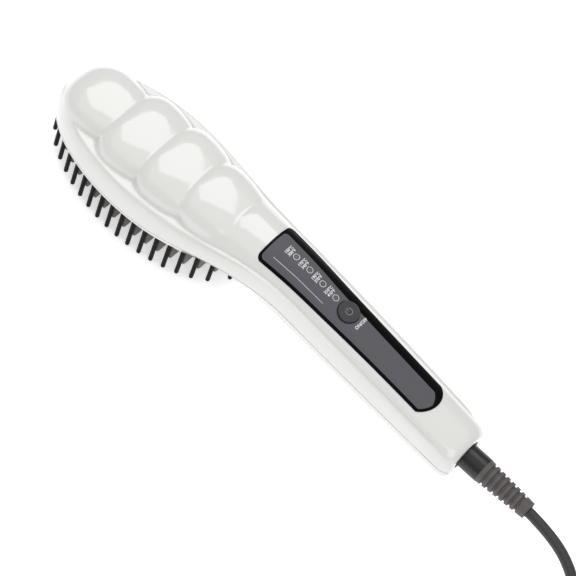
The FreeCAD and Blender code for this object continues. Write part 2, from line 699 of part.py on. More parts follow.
def row_items():
    """Bristle places and fin spans, row by row: rows line up so that hair can lie between them."""
    bristles = []
    fins = []
    clear = s.bristle_radius + s.fin_gap
    for i in range(ROWS):
        x = s.row_start + i * s.row_pitch
        half = egg_half_width(x, bristle_inset)
        stops = [-half, half]
        if half > s.wide_row:
            inner = INNER_BRISTLE_SHARE * half
            stops = [-half, -inner, inner, half]
        elif half > s.narrow_row:
            stops = [-half, 0, half]
        bristles += [(x, y) for y in stops]
        fins += [(x, a + clear, b - clear) for a, b in zip(stops, stops[1:])]
    return bristles, [fin for fin in fins if fin[2] - fin[1] > 2 * s.fin_thickness]


def fin_solid(x, start, end):
    corner = min(s.fin_corner, (end - start) / 2.5)
    low = bow(x) - s.fin_reach
    turn = corner * (1 - math.sqrt(0.5))
    left = [point(x, start, low + corner), point(x, start + turn, low + turn)]
    left.append(point(x, start + corner, low))
    right = [point(x, end - corner, low), point(x, end - turn, low + turn), point(x, end, low + corner)]
    edges = [Part.Arc(*left).toShape(), line(left[2], right[0]), Part.Arc(*right).toShape()]
    tops = [point(x, end, s.bed_top), point(x, start, s.bed_top)]
    edges += [line(right[2], tops[0]), line(*tops), line(tops[1], left[0])]
    blade = Part.Face(Part.Wire(edges)).extrude(point(s.fin_thickness, 0, 0))
    blade.translate(point(-s.fin_thickness / 2, 0, 0))
    return blade


def bristle_solid(x, y):
    """A round-tipped pin, moulded into the bed's flange."""
    tip = bow(x) - s.bristle_reach
    outline = [(across * s.bristle_radius, tip + up * s.bristle_radius) for across, up in TIP_SHARES]
    outline += [(s.bristle_radius, s.bed_flange_top), (0, s.bed_flange_top), outline[0]]
    face = Part.Face(Part.makePolygon([point(across, 0, z) for across, z in outline]))
    pin = face.revolve(point(0, 0, 0), Z_AXIS, 360)
    pin.translate(point(x, y, 0))
    return pin


def make_bed():
    bristles, fins = row_items()
    plate = egg_solid(s.rim_land + s.bed_gap, s.bed_face, s.bed_flange_top)
    plate = plate.fuse(egg_solid(s.lip_width + s.bed_step, s.bed_flange_top - s.cut_overrun, s.bed_top))
    hole_radius = s.bristle_radius + s.bristle_fit
    cuts = [upright(x, y, 0, s.bed_flange_top, hole_radius) for x, y in bristles]
    slot_width = s.fin_thickness + 2 * s.slot_gap
    for x, start, end in fins:
        corner = point(x - slot_width / 2, start - s.slot_gap, 0)
        slot_length = end - start + 2 * s.slot_gap
        cuts.append(Part.makeBox(slot_width, slot_length, s.bed_top + s.cut_overrun, corner))
    keep_shape("bristle_bed", plate.cut(Part.makeCompound(cuts)))
    keep_shape("nylon_bristles", Part.makeCompound([bristle_solid(x, y) for x, y in bristles]))
    keep_shape("heating_fins", Part.makeCompound([fin_solid(*fin) for fin in fins]))


# Heater on its plate


clamp_half = "heater_width / 2 + mica_margin + clamp_gap"
clamp_screw_y = s.heater_width / 2 + s.mica_margin + s.clamp_gap + s.clamp_thickness + s.clamp_foot / 2


def make_heater():
    plate = egg_solid(s.plate_inset, s.bed_top, plate_top)
    cuts = []
    for x, y in plate_screws_at:
        cuts.append(upright(x, y, 0, s.bed_top + s.screw_head, s.screw_head_radius + s.screw_fit))
        cuts.append(upright(x, y, 0, roof, s.screw_radius + s.screw_fit))
    for side in (-1, 1):
        y = side * clamp_screw_y
        cuts.append(upright(s.head_widest, y, 0, roof, s.clamp_screw_radius + s.screw_fit))
    keep_shape("heating_plate", plate.cut(Part.makeCompound(cuts)))

    heater = bound("Part::Box", "heater", Length="heater_length", Width="heater_width",
                   Height="heater_thickness")
    heater_x = s.head_widest - s.heater_length / 2
    heater_y = -s.heater_width / 2
    keep("ceramic_heater", heater, at(heater_x, heater_y, plate_top))
    mica = bound("Part::Box", "mica", Length="heater_length + 2 * mica_margin",
                 Width="heater_width + 2 * mica_margin", Height="mica_thickness")
    mica_low = plate_top + s.heater_thickness
    keep("mica_sheet", mica, at(heater_x - s.mica_margin, heater_y - s.mica_margin, mica_low))
    make_clamp()
    fuse = bound("Part::Cylinder", "fuse", Radius="fuse_radius", Height="fuse_length")
    fuse_x = s.head_widest + s.heater_length / 2 + s.fuse_offset
    keep("thermal_fuse", fuse, along_x(fuse_x, 0, plate_top + s.fuse_radius))
    sensor = bound("Part::Cylinder", "sensor", Radius="sensor_radius", Height="sensor_length")
    sensor_x = s.head_widest - s.heater_length / 2 - s.sensor_offset - s.sensor_length
    keep("temperature_sensor", sensor, along_x(sensor_x, 0, plate_top + s.sensor_radius))
    make_leads()


def at(x, y, z):
    return FreeCAD.Placement(point(x, y, z), FreeCAD.Rotation())


def along_x(x, y, z):
    """Place a piece so that its own z runs along the brush."""
    return FreeCAD.Placement(point(x, y, z), FreeCAD.Rotation(Y_AXIS, 90))


def make_clamp():
    """Bent strap over the heater, with a screwed foot each side."""
    foot = "%s + clamp_thickness + clamp_foot" % clamp_half
    shin = "%s + clamp_thickness" % clamp_half
    lid = "heater_thickness + mica_thickness"
    top = "%s + clamp_thickness" % lid
    right = [(foot, "0"), (foot, "clamp_thickness"), (shin, "clamp_thickness"), (shin, top)]
    inner = [(clamp_half, lid), (clamp_half, "0")]
    corners = right + [("-(%s)" % y, z) for y, z in reversed(right)]
    corners += [("-(%s)" % y, z) for y, z in reversed(inner)] + inner
    body = doc.addObject("PartDesign::Body", "strap")
    pad = body.newObject("PartDesign::Pad", "Pad")
    pad.Profile = outline_sketch(body, "YZ_Plane", corners)
    pad.setExpression("Length", sized("clamp_width"))
    doc.recompute()
    hole_radius = s.clamp_screw_radius + s.screw_fit
    ys = [-clamp_screw_y, clamp_screw_y]
    holes = [upright(s.clamp_width / 2, y, -s.cut_overrun, roof, hole_radius) for y in ys]
    strap = body.Shape.cut(Part.makeCompound(holes))
    doc.removeObject(body.Name)
    keep_shape("heater_clamp", strap, at(s.head_widest - s.clamp_width / 2, 0, plate_top))
    screw = screw_body("clamp_screw_radius", "screw_head_radius", "clamp_screw_head", "clamp_screw_length")
    seat_z = plate_top + s.clamp_thickness
    keep_shape("clamp_screws", copies(screw, [at(s.head_widest, y, seat_z) for y in ys]))
    doc.removeObject(screw.Name)


def screw_body(radius, head_radius, head, length):
    """A screw whose head stands on z = 0 and whose shank hangs below."""
    return turned_body("screw", "V_Axis", [
        ("0", "-" + length), (radius, "-" + length), (radius, "0"),
        (head_radius, "0"), (head_radius, head), ("0", head)])


def make_screws():
    turned_over = FreeCAD.Rotation(X_AXIS, 180)
    screw = screw_body("screw_radius", "screw_head_radius", "screw_head", "plate_screw_length")
    seat_z = s.bed_top + s.screw_head
    places = [FreeCAD.Placement(point(x, y, seat_z), turned_over) for x, y in plate_screws_at]
    keep_shape("plate_screws", copies(screw, places))
    doc.removeObject(screw.Name)
    screw = screw_body("screw_radius", "screw_head_radius", "screw_head", "shell_screw_length")
    places = [FreeCAD.Placement(point(x, y, shell_seat(x)), turned_over) for x, y in shell_screws_at]
    keep_shape("shell_screws", copies(screw, places))
    doc.removeObject(screw.Name)


# Tubes on straight runs with tangent arcs


def rounded_route(points, name):
    """Wire of straight runs joined by arcs that take 0.45 of the shorter neighbour run."""
    edges = []
    radii = []
    here = points[0]
    for before, corner, after in zip(points, points[1:], points[2:]):
        back = (before - corner).normalize()
        ahead = (after - corner).normalize()
        half_turn = (math.pi - back.getAngle(ahead)) / 2
        setback = 0.45 * min(corner.distanceToPoint(before), corner.distanceToPoint(after))
        radius = setback / math.tan(half_turn)
        middle = corner + (back + ahead).normalize() * (radius / math.cos(half_turn) - radius)
        edges.append(line(here, corner + back * setback))
        edges.append(Part.Arc(corner + back * setback, middle, corner + ahead * setback).toShape())
        here = corner + ahead * setback
        radii.append(radius)
    edges.append(line(here, points[-1]))
    print(name, "bend radii", [round(r, 1) for r in radii])
    return Part.Wire(edges)


def tube(wire, radius, name):
    start = wire.OrderedVertexes[0].Point
    heading = wire.OrderedEdges[0].tangentAt(wire.OrderedEdges[0].FirstParameter)
    profile = Part.Wire(Part.makeCircle(radius, start, heading))
    solid = wire.makePipeShell([profile], True, False)
    share = solid.Volume / (math.pi * radius**2 * wire.Length)
    print(name, "length", round(wire.Length, 1), "volume over section times length", round(share, 4))
    return solid


def make_leads():
    start_x = s.head_widest + s.heater_length / 2 + s.lead_gap
    start_z = plate_top + s.heater_thickness / 2
    end = handle_point(-board_half, 0, board_bottom + s.board_thickness / 2)
    run = end.x - s.lead_gap - start_x
    xs = [start_x + run * share for share in HEATER_LEAD_SHARES]
    zs = [start_z, start_z, end.z, end.z]
    wires = []
    for y in (-s.lead_spacing / 2, s.lead_spacing / 2):
        route = rounded_route([point(x, y, z) for x, z in zip(xs, zs)], "heater lead")
        wires.append(tube(route, s.lead_radius, "heater lead"))
    keep_shape("heater_leads", Part.makeCompound(wires))


# Cord swivel: x of these bodies is measured from the handle's end face


def make_swivel():
    bush_low = "-swivel_block - bush_flange"
    flange_high = "-swivel_block - bush_flange - collar_end_gap"
    flange_low = "%s - collar_flange" % flange_high
    neck_low = "%s - collar_neck" % flange_low
    bush_bore = "collar_radius + bush_fit"
    bush = turned_body("swivel_bush", "H_Axis", [
        (bush_low, bush_bore), (bush_low, "bush_flange_radius"), ("-swivel_block", "bush_flange_radius"),
        ("-swivel_block", "bush_radius"), ("-bush_recess", "bush_radius"), ("-bush_recess", bush_bore)])
    keep("swivel_bush", bush, at(*axle))
    collar = turned_body("swivel_collar", "H_Axis", [
        (neck_low, "collar_bore"), (neck_low, "collar_neck_radius"), (flange_low, "collar_neck_radius"),
        (flange_low, "collar_flange_radius"), (flange_high, "collar_flange_radius"),
        (flange_high, "collar_radius"), ("collar_reach", "collar_radius"), ("collar_reach", "collar_bore")])
    keep("swivel_collar", collar, at(*axle))
    ring = turned_body("ring", "H_Axis", [
        ("0", "collar_neck_radius"), ("0", "ring_radius"),
        ("ring_width", "ring_radius"), ("ring_width", "collar_neck_radius")])
    flange_x = bush_inner_end - s.bush_flange - s.collar_end_gap - s.collar_flange
    neck_x = flange_x - s.collar_neck
    ring_xs = [neck_x + s.ring_end + i * (s.ring_width + s.ring_gap) for i in (0, 1)]
    keep_shape("slip_rings", copies(ring, [at(x, 0, s.axle_height) for x in ring_xs]))
    doc.removeObject(ring.Name)
    make_blades(ring_xs)
    make_sleeve()


def make_blades(ring_xs):
    """One bent blade over each slip ring, hung from the board's tail end."""
    top = handle_point(board_half - s.blade_inset, 0, board_bottom)
    low = s.axle_height + s.ring_radius + s.blade_gap
    blades = []
    for side, ring_x in zip((-1, 1), ring_xs):
        y = side * (s.blade_width + s.blade_spread) / 2 - s.blade_width / 2
        foot = point(top.x, y, low)
        reach = ring_x + s.ring_width - top.x
        leg = Part.makeBox(s.blade_thickness, s.blade_width, top.z - s.blade_seat - low, foot)
        finger = Part.makeBox(reach, s.blade_width, s.blade_thickness, foot)
        blades.append(leg.fuse(finger).removeSplitter())
    keep_shape("contact_blades", Part.makeCompound(blades))


def make_sleeve():
    """Tapered, ringed strain relief; it starts on the collar's end face."""
    def crest(x):
        return "sleeve_radius - (sleeve_radius - sleeve_tip_radius) * (%s) / sleeve_length" % x

    corners = [("0", "collar_bore"), ("0", "sleeve_radius")]
    for i in range(SLEEVE_RIBS):
        start = "sleeve_collar + rib_pitch * %d" % i
        stops = ["%s + rib_pitch * %g" % (start, share) for share in RIB_SHARES]
        corners += [(start, crest(start)), (stops[0], crest(stops[0]))]
        corners += [(stop, "%s - rib_height" % crest(stop)) for stop in stops[1:]]
    last = "sleeve_collar + rib_pitch * %d" % SLEEVE_RIBS
    corners += [(last, crest(last)), ("sleeve_length", "sleeve_tip_radius")]
    corners.append(("sleeve_length", "collar_bore"))
    sleeve = turned_body("strain_relief", "H_Axis", corners)
    keep("strain_relief", sleeve, at(s.body_length + s.collar_reach, 0, s.axle_height))


# Mains lead with its coil and plug


coil_z = -s.bristle_reach + s.tie_thickness + s.tie_gap + s.cord_radius
coil_inner = s.coil_outer_radius - COIL_TURNS * s.coil_pitch
coil_total = COIL_TURNS + 0.5 + COIL_UPPER_STEPS / COIL_STEPS
coil_x = overall_length + s.coil_reach


def coil_place(turn):
    """Spiral in, climb a layer in the half turn where it reverses, and spiral out."""
    if turn <= COIL_TURNS:
        radius = s.coil_outer_radius - s.coil_pitch * turn
        height = 0
    elif turn <= COIL_TURNS + 0.5:
        share = 2 * (turn - COIL_TURNS)
        radius = coil_inner - s.coil_pitch / (2 * math.pi) * math.sin(math.pi * share)
        height = s.coil_rise * ease(share)
    else:
        radius = coil_inner + s.coil_pitch * (turn - COIL_TURNS - 0.5)
        height = s.coil_rise
    angle = 2 * math.pi * turn
    return point(coil_x + radius * math.sin(angle), -radius * math.cos(angle), coil_z + height)


def coil_heading(turn):
    if turn in (0, coil_total):
        angle = 2 * math.pi * turn
        return point(math.cos(angle), math.sin(angle), 0)
    step = 1 / (COIL_STEPS * GAP_SAMPLES)
    return (coil_place(turn + step) - coil_place(turn - step)).normalize()


coil_start = coil_place(0) - coil_heading(0) * 2 * s.cord_radius
coil_end = coil_place(coil_total) + coil_heading(coil_total) * 2 * s.cord_radius


def arc_to(start, corner, end):
    """Arc from start to end whose tangents meet in the corner."""
    middle = (start + end) / 2
    lean = middle.distanceToPoint(start) / corner.distanceToPoint(start)
    return Part.Arc(start, middle + (corner - middle) * (lean / (1 + lean)), end).toShape()


def biarc(start, heading, end, arrival):
    """Two arcs with one tangent where they meet."""
    span = end - start
    slack = span.dot(heading + arrival)
    bend = 2 * (1 - heading.dot(arrival))
    reach = (math.sqrt(slack**2 + bend * span.dot(span)) - slack) / bend
    first = start + heading * reach
    second = end - arrival * reach
    meeting = (first + second) / 2
    return [arc_to(start, first, meeting), arc_to(meeting, second, end)]


def coil_wire():
    turns = spread(0, coil_total, round(coil_total * COIL_STEPS))
    edges = [line(coil_start, coil_place(0))]
    for a, b in zip(turns, turns[1:]):
        edges += biarc(coil_place(a), coil_heading(a), coil_place(b), coil_heading(b))
    edges.append(line(coil_place(coil_total), coil_end))
    return Part.Wire(edges)


def coil_gap():
    """Least gap between the coil's turns, on points that lie at least half a turn apart."""
    samples = COIL_STEPS * GAP_SAMPLES
    places = [coil_place(i / samples) for i in range(int(coil_total * samples) + 1)]
    least = min(a.distanceToPoint(b) for i, a in enumerate(places) for b in places[i + samples // 2:])
    return least - 2 * s.cord_radius


def lead_route(start, end):
    span = end - start
    return [start + point(span.x * a, span.y * b, span.z * c) for a, b, c in LEAD_SHARES]


def tail_route(rise):
    """From the coil's upper layer round its near side, up to the plug that lies on the coil."""
    places = [coil_end]
    for turn in spread(coil_total, math.ceil(coil_total), TAIL_TURNS):
        angle = 2 * math.pi * turn
        run = s.tail_end if turn in (coil_total, math.ceil(coil_total)) else s.tail_step
        places.append(places[-1] + point(math.cos(angle), math.sin(angle), 0) * run)
    return [place + Z_AXIS * (rise * share) for place, share in zip(places, TAIL_RISE_SHARES)]


def make_cord():
    lead_start = point(s.body_length + s.collar_reach + s.cord_start, 0, s.axle_height)
    lead_points = lead_route(lead_start, coil_start)
    keep_shape("cord_lead", tube(rounded_route(lead_points, "cord lead"), s.cord_radius, "cord lead"))
    keep_shape("cord_coil", tube(coil_wire(), s.cord_radius, "cord coil"))
    print("cord coil least gap", round(coil_gap(), 2))
    plug_rise = s.cord_radius + s.plug_rest + s.plug_thickness / 2
    tail_points = tail_route(plug_rise)
    keep_shape("cord_end", tube(rounded_route(tail_points, "cord end"), s.cord_radius, "cord end"))
    make_tie()
    make_plug(tail_points[-1])


def make_tie():
    """Flat strap round the coil, where its turns run across the brush."""
    near, far = (coil_place(i + 0.75).x for i in (0, COIL_TURNS - 1))
    slack = s.cord_radius + s.tie_gap
    length = far - near + 2 * slack
    height = s.coil_rise + 2 * slack
    corner = point(near - slack, -s.tie_width / 2, coil_z - slack)
    hole = Part.makeBox(length, s.tie_width, height, corner)
    t = s.tie_thickness
    strap = Part.makeBox(length + 2 * t, s.tie_width, height + 2 * t, corner - point(t, 0, t))
    keep_shape("cord_tie", strap.cut(hole))


def make_plug(end):
    """Two-pin plug that lies flat on the coil, pins away from the brush."""
    sleeve = turned_body("plug_sleeve", "H_Axis", [
        ("0", "0"), ("0", "plug_sleeve_radius"),
        ("plug_sleeve_length", "plug_sleeve_root"), ("plug_sleeve_length", "0")])
    keep("plug_sleeve", sleeve, at(*end))
    taper = "plug_length * %g" % PLUG_TAPER_SHARE
    half = [("0", "plug_neck_width / 2"), (taper, "plug_width / 2"), ("plug_length", "plug_width / 2")]
    corners = [(x, "-(%s)" % y) for x, y in half] + list(reversed(half))
    body = padded_body("plug", corners, "plug_thickness")
    doc.recompute()
    block = body.Shape.copy()
    doc.removeObject(body.Name)
    block.translate(point(0, 0, -s.plug_thickness / 2))
    block = block.makeFillet(s.plug_edge, block.Edges)
    pin_places = [point(s.plug_length, side * s.pin_spacing / 2, 0) for side in (-1, 1)]
    bore_radius = s.pin_core_radius + s.pin_fit
    roots = [p - X_AXIS * s.pin_root for p in pin_places]
    bores = [Part.makeCylinder(bore_radius, s.pin_root, root, X_AXIS) for root in roots]
    face = end + X_AXIS * s.plug_sleeve_length
    keep_shape("plug_body", block.cut(Part.makeCompound(bores)), at(*face))
    pin = turned_body("pin", "H_Axis", [
        ("-pin_root", "0"), ("-pin_root", "pin_core_radius"), ("pin_sleeve_length", "pin_core_radius"),
        ("pin_sleeve_length", "pin_radius"), ("pin_length - pin_end_round", "pin_radius"),
        ("pin_length", "pin_radius - pin_end_round"), ("pin_length", "0")])
    cover = turned_body("cover", "H_Axis", [
        ("0", "pin_core_radius"), ("0", "pin_radius"),
        ("pin_sleeve_length", "pin_radius"), ("pin_sleeve_length", "pin_core_radius")])
    places = [at(*(face + p)) for p in pin_places]
    keep_shape("plug_pins", copies(pin, places))
    keep_shape("pin_sleeves", copies(cover, places))
    doc.removeObject(pin.Name)
    doc.removeObject(cover.Name)


make_shells()
make_panel()
make_board()
make_bed()
make_heater()
make_screws()
make_swivel()
make_cord()
doc.recompute()

os.makedirs("parts", exist_ok=True)
for label, thing in pieces.items():
    faults = [state for state in thing.State if state in ("Invalid", "Error")]
    if faults or thing.Shape.isNull() or not thing.Shape.isValid():
        raise SystemExit("not sound: " + label)
    thing.Shape.exportStep("parts/%s.step" % label)
    box = thing.Shape.BoundBox
    spans = (box.XMin, box.XMax, box.YMin, box.YMax, box.ZMin, box.ZMax)
    print("%-20s solids %3d" % (label, len(thing.Shape.Solids)), [round(edge, 1) for edge in spans])
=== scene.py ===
# %% [markdown]
# # Hair straightening brush
# The solids give every piece its place and its motion. This lesson dresses them: a camera at the
# photograph's angle, the mains lead as one smooth spline, a gloss skin drawn from the housing's own
# section curves, and the print on the control panel. Lengths are in millimetres, measured from the
# head's tip and from the rim's lower edge, and turned to metres when a mesh is made.

# %% Frame
import json
import math

import bmesh
import bpy
import numpy as np
from mathutils import Matrix, Vector


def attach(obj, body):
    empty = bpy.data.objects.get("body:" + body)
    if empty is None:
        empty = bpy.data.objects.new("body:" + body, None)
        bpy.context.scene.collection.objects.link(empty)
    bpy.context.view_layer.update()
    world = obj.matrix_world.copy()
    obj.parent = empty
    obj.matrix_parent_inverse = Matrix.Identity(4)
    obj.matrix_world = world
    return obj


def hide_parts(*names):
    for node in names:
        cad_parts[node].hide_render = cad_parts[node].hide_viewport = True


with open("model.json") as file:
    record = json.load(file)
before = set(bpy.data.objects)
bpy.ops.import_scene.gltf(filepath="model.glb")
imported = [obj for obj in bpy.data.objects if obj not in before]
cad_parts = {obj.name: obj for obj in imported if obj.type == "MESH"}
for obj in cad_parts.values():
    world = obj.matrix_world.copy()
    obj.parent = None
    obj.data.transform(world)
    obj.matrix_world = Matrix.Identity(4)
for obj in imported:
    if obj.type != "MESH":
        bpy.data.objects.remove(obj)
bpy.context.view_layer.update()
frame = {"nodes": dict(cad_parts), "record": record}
nodes = frame["nodes"]

MM = 0.001
SEAT = np.array([-166.5, 0.0, 26.5])


def metres(points):
    """Brush millimetres to the frame's metres."""
    return (np.asarray(points, float) + SEAT) * MM


def millimetres(place):
    """A place in the frame's metres to brush millimetres."""
    return np.array(place) / MM - SEAT


def put_in_scene(thing):
    bpy.context.scene.collection.objects.link(thing)
    return thing


print("solids loaded:", len(nodes))

# %% [markdown]
# ## Camera
# The photograph looks down on the brush, turned so that the brush runs from corner to corner. A
# camera could be aimed by a constraint, but its roll would then need a second control. Here its
# three axes are worked out from azimuth, elevation and roll, which were fitted to the picture.

# %% Camera
PICTURE_WIDTH = 576
SENSOR_WIDTH = 36.0
azimuth, elevation, roll = (math.radians(a) for a in (21.163, 57.769, 24.009))
camera_distance = 1500.0
pixels_per_mm = 1.925
aim_place = [165.0, 0.0, 8.0]
shift_pixels = (-5.598, -2.899)
clip_range = (0.05, 20)

level = math.cos(elevation)
right = Vector((math.cos(azimuth), math.sin(azimuth), 0))
back = Vector((level * math.sin(azimuth), -level * math.cos(azimuth), math.sin(elevation)))
up = back.cross(right)
camera_right = math.cos(roll) * right + math.sin(roll) * up
camera_up = math.cos(roll) * up - math.sin(roll) * right
camera = put_in_scene(bpy.data.objects.new("camera", bpy.data.cameras.new("camera")))
turn = Matrix((camera_right, camera_up, back)).transposed().to_4x4()
target = Vector(metres(aim_place))
camera.matrix_world = Matrix.Translation(target + back * camera_distance * MM) @ turn
camera.data.sensor_width = SENSOR_WIDTH
camera.data.lens = SENSOR_WIDTH * pixels_per_mm * camera_distance / PICTURE_WIDTH
camera.data.shift_x, camera.data.shift_y = (s / PICTURE_WIDTH for s in shift_pixels)
camera.data.clip_start, camera.data.clip_end = clip_range
bpy.context.scene.camera = camera
print("camera lens: %.1f mm" % camera.data.lens)

# %% [markdown]
# ## Materials
# Almost everything here is moulded plastic, so the looks differ in colour, roughness and how much
# of the light the surface mirrors. Pictures of plastic could be wrapped round the pieces, but plain
# numbers on the shader keep the looks sharp at any distance. Only the textured mouldings get a
# pattern: a fine bump, drawn coarser than a real mould's grain so that it shows.


# %% Material helpers
def linear(code):
    """An sRGB hex colour as the shader's linear colour."""
    parts = [int(code[i:i + 2], 16) / 255 for i in (1, 3, 5)]
    return [p / 12.92 if p <= 0.04045 else ((p + 0.055) / 1.055) ** 2.4 for p in parts] + [1.0]


def add_node(tree, kind, settings, links):
    """A new node with its sockets set, or linked to other nodes' outputs."""
    node = tree.nodes.new(kind)
    for socket, value in settings.items():
        node.inputs[socket].default_value = value
    for socket, source in links.items():
        tree.links.new(source, node.inputs[socket])
    return node


COAT_ROUGHNESS = 0.08
GRAIN_DETAIL, GRAIN_STRENGTH = 2.0, 0.3


def surface(name, code, roughness, grain_mm=0.0, grain_depth=0.0, metallic=0.0, coat=0.0,
            specular=0.5):
    """A named material; its grain is a fine bump with its width and depth in millimetres."""
    material = bpy.data.materials.new(name)
    material.use_nodes = True
    tree = material.node_tree
    shader = tree.nodes["Principled BSDF"]
    shader.inputs["Base Color"].default_value = linear(code)
    shader.inputs["Roughness"].default_value = roughness
    shader.inputs["Metallic"].default_value = metallic
    shader.inputs["Specular IOR Level"].default_value = specular
    shader.inputs["Coat Weight"].default_value = coat
    shader.inputs["Coat Roughness"].default_value = COAT_ROUGHNESS
    if grain_mm:
        place = add_node(tree, "ShaderNodeTexCoord", {}, {})
        noise = add_node(tree, "ShaderNodeTexNoise",
                         {"Scale": 1 / (grain_mm * MM), "Detail": GRAIN_DETAIL},
                         {"Vector": place.outputs["Object"]})
        bump = add_node(tree, "ShaderNodeBump",
                        {"Strength": GRAIN_STRENGTH, "Distance": grain_depth * MM},
                        {"Height": noise.outputs["Fac"]})
        tree.links.new(bump.outputs["Normal"], shader.inputs["Normal"])
    return material


print("half grey in linear light: %.3f" % linear("#808080")[0])

# %% Materials that show
looks = {
    # ABS moulded in a polished tool and lacquered: clear reflections on a warm white.
    "gloss_white": surface("pearl_white_abs", "#d6d6d3", 0.12, coat=0.5),
    # Moulded acrylic inlay: deep black that mirrors little of a white room.
    "gloss_black": surface("black_gloss_acrylic", "#040405", 0.3, specular=0.06),
    # Printed film: an even grey with a soft sheen.
    "panel_film": surface("grey_panel_film", "#55545a", 0.55, specular=0.2),
    # Moulded ABS with a satin face: a shade darker than the film round it.
    "button_black": surface("button_plastic", "#323136", 0.4, specular=0.3),
    # Smoked acrylic: lamp windows that look grey while the lamps are off.
    "clear_plastic": surface("smoked_acrylic", "#5a595f", 0.25, specular=0.3),
    # Moulded nylon: black pins with hardly a highlight.
    "nylon_black": surface("black_nylon", "#040404", 0.45, specular=0.06),
    # Moulded plate with a spark-eroded grain: a dull black.
    "bed_black": surface("bed_plastic", "#19191a", 0.5, 0.8, 0.02),
    # Ceramic sprayed on aluminium: a brownish grey with a fine orange peel.
    "coated_fin": surface("ceramic_fin_coating", "#5a4f49", 0.42, 0.5, 0.015),
    # Turned acetal: a dark barrel with a satin highlight.
    "acetal": surface("dark_acetal", "#1d1c1e", 0.28, specular=0.4),
    # Extruded PVC: a soft dark grey.
    "cord_rubber": surface("cord_pvc", "#2c2a2a", 0.48, 0.6, 0.015),
    # Soft moulded PVC: a lighter, duller grey than the lead.
    "sleeve_rubber": surface("sleeve_pvc", "#4f4a49", 0.5, 0.6, 0.015),
    # Moulded nylon: a plain black strap.
    "tie_nylon": surface("tie_nylon", "#1d1d1e", 0.45),
    # Nickel plate on brass pins: a warm, nearly clear mirror.
    "nickel": surface("nickel_plate", "#c9c6bf", 0.22, metallic=1.0),
}
# Screen-printed ink: matt, pale on the film and dim on the button.
print_ink = surface("pale_print_ink", "#dcdce0", 0.6)
mark_ink = surface("grey_mark_ink", "#77767c", 0.6)
print("looks that show:", len(looks))

# %% Materials inside the housing
looks |= {
    # Rolled sheet, plated screws and stamped contacts: metals with a blurred mirror.
    "bare_aluminium": surface("bare_aluminium", "#c8c8ca", 0.35, metallic=1.0),
    "steel": surface("zinc_plated_steel", "#b9b9b7", 0.3, metallic=1.0),
    "brass": surface("brass", "#c9a65a", 0.28, metallic=1.0),
    # Fired alumina and split mica: pale insulators without gloss.
    "ceramic": surface("alumina_ceramic", "#ece8e0", 0.5),
    "mica": surface("mica_sheet", "#c4ad7e", 0.4),
    # Lacquered laminate, epoxy and dipped shells: the usual colours of a circuit board.
    "board_green": surface("board_laminate", "#1f5a38", 0.35),
    "component_black": surface("component_epoxy", "#161616", 0.5),
    "capacitor_blue": surface("capacitor_shell", "#3a57a8", 0.35),
    # Silicone sleeving: a matt warm grey.
    "lead_silicone": surface("lead_silicone", "#a8a49d", 0.6),
}
slot_of = {part["node"]: part["material_slot"] for part in frame["record"]["subparts"]}
body_of = {n: body for body, held in frame["record"]["behaviour"]["bodies"].items() for n in held}
for name, node in nodes.items():
    node.data.materials.clear()
    node.data.materials.append(looks[slot_of[name]])
print("looks in all:", len(looks))

# %% [markdown]
# ## Mains lead
# The lead is a round PVC cord that leaves the strain relief, sinks to the floor and is wound into
# two layers of turns. A modelled tube would show its facets, so the lead is a spline with a round
# bevel. Its control points are the points of the solids' route, and the coil's turns are more
# points of the same spline. These sit a little outside the turn's radius, because the curve runs
# inside its control points.

# %% Route of the lead
axle_z, coil_z, coil_rise = -2.0, -22.0, 6.5
coil_x, coil_out, coil_pitch, coil_turns, upper_turns = 452.0, 46.0, 6.5, 4, 37 / 12
crossing_turns = 0.5
coil_in = coil_out - coil_turns * coil_pitch
coil_total = coil_turns + crossing_turns + upper_turns
coil_straight = 6.0
lead_start = [320.0, 0.0, axle_z]
lead_span = [coil_x - coil_straight - lead_start[0], -coil_out, coil_z - axle_z]
lead_shares = [
    (0, 0, 0), (0.21, 0, 0), (0.42, 0.17, 0.2), (0.63, 0.67, 0.7), (0.84, 1, 1), (1, 1, 1),
]
tail_runs = (19.0, 19.4, 19.4, 19.4, 19.4, 19.0)
tail_rise_shares = (0, 0, 0.25, 0.55, 0.8, 1, 1)
tail_end_turns = 8
plug_rise = 10.2
points_per_turn = 24


def ease(share):
    """A smooth step from 0 to 1."""
    return 0.5 - 0.5 * math.cos(math.pi * min(max(share, 0), 1))


def coil_point(turns, spread):
    """A point of the coil: inwards on the lower layer, across, and outwards on the upper one."""
    share = (turns - coil_turns) / crossing_turns
    if share <= 0:
        radius = coil_out - coil_pitch * turns
    elif share < 1:
        radius = coil_in - coil_pitch / (2 * math.pi) * math.sin(math.pi * share)
    else:
        radius = coil_in + coil_pitch * (turns - coil_turns - crossing_turns)
    angle = 2 * math.pi * turns
    rim = radius * spread
    height = coil_z + coil_rise * ease(share)
    return [coil_x + rim * math.sin(angle), -rim * math.cos(angle), height]


def step_along(place, angle, run):
    return [place[0] + run * math.cos(angle), place[1] + run * math.sin(angle)]


spread = 1 / math.cos(math.pi / points_per_turn)
route = [[a + b * c for a, b, c in zip(lead_start, lead_span, shares)] for shares in lead_shares]
coil_count = round(coil_total * points_per_turn)
route += [coil_point((i + 0.5) / points_per_turn, spread) for i in range(coil_count)]
end_angle = 2 * math.pi * coil_total
tail = [step_along(coil_point(coil_total, 1), end_angle, coil_straight)]
tail_angles = np.linspace(end_angle, 2 * math.pi * tail_end_turns, len(tail_runs))
for angle, run in zip(tail_angles, tail_runs):
    tail.append(step_along(tail[-1], angle, run))
route += [[*p, coil_z + coil_rise + plug_rise * r] for p, r in zip(tail, tail_rise_shares)]
print("points of the lead:", len(route))

